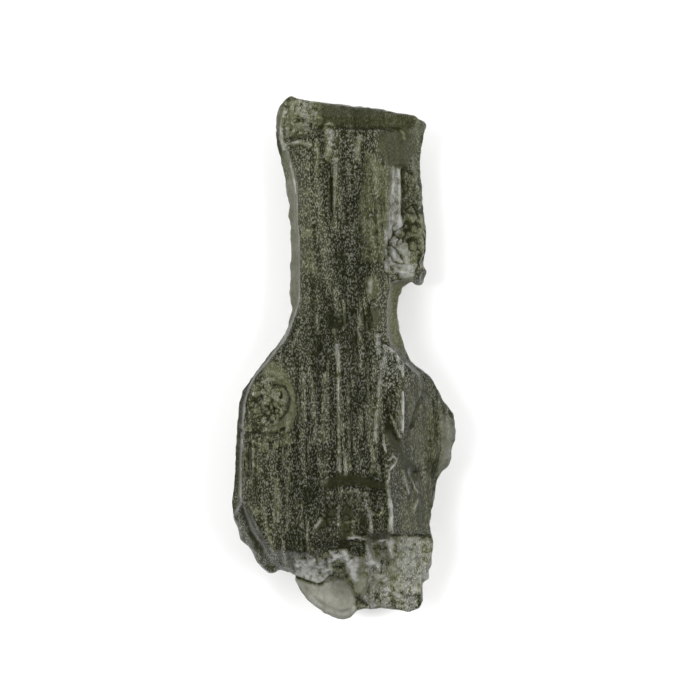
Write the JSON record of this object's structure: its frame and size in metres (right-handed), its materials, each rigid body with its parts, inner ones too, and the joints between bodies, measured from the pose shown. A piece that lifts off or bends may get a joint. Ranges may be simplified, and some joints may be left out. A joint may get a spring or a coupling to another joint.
{
  "type": "moldavite",
  "caption": "Rough piece of olive-green natural glass with a grooved front, a narrow neck, thin pale margins and a broken foot.",
  "frame": {"origin": "middle of the plan, at the level of the small flat spot on the back that the stone rests on", "axes": "+Y along the stone towards the end of its narrow neck, +Z out of the grooved front, +X to the right as the front is seen with the neck upwards"},
  "size_m": [0.0172, 0.0402, 0.0077],
  "materials": {
    "moldavite_glass": "translucent olive-green natural glass with a finely frosted, grooved skin"
  },
  "bodies": {
    "root": {"moldavite": "moldavite_glass"}
  },
  "joints": []
}
